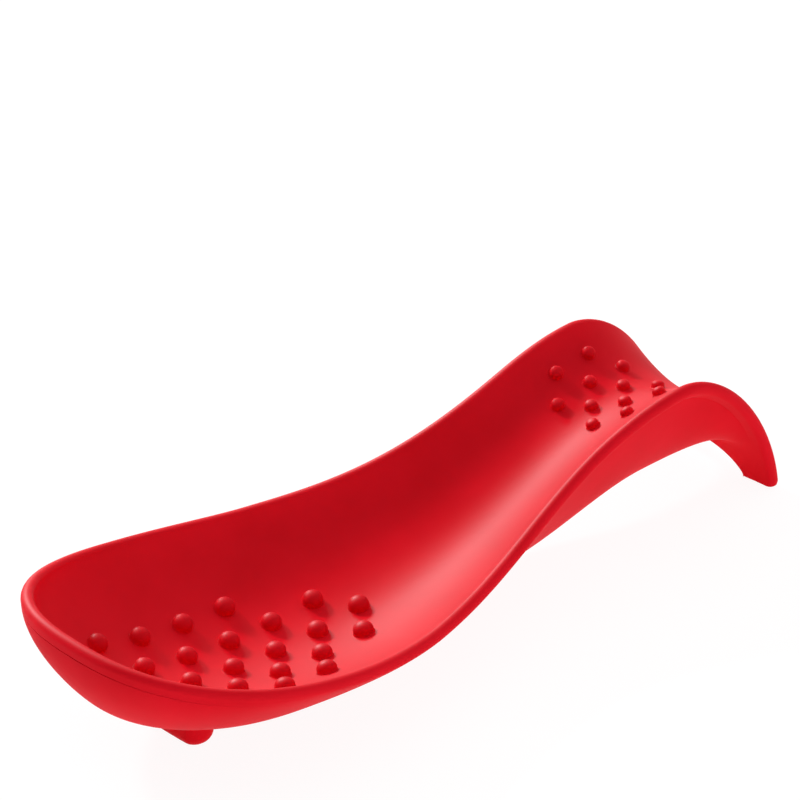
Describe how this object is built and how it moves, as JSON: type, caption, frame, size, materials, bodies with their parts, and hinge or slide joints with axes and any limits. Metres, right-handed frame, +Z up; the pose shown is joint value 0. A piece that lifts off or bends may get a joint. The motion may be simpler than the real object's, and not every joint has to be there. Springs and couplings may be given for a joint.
{
  "type": "spoon rest",
  "caption": "Scoop-shaped spoon rest with a double wall, a narrowing neck, a saddle that curls down into rear legs, and soft grip studs.",
  "frame": {"origin": "centre of the bounding box in plan, on the ground plane the foot and legs stand on", "axes": "+X from the bowl's nose to the rear legs, +Y across the bowl, +Z up"},
  "size_m": [0.2452, 0.0956, 0.0475],
  "materials": {
    "skin": "satin moulded melamine-like plastic, one red",
    "soft": "satin soft rubber in the same red"
  },
  "bodies": {
    "root": {"tray": "skin", "under_shell": "skin", "bowl_studs": "soft", "saddle_studs": "soft", "front_foot": "soft"}
  },
  "joints": []
}
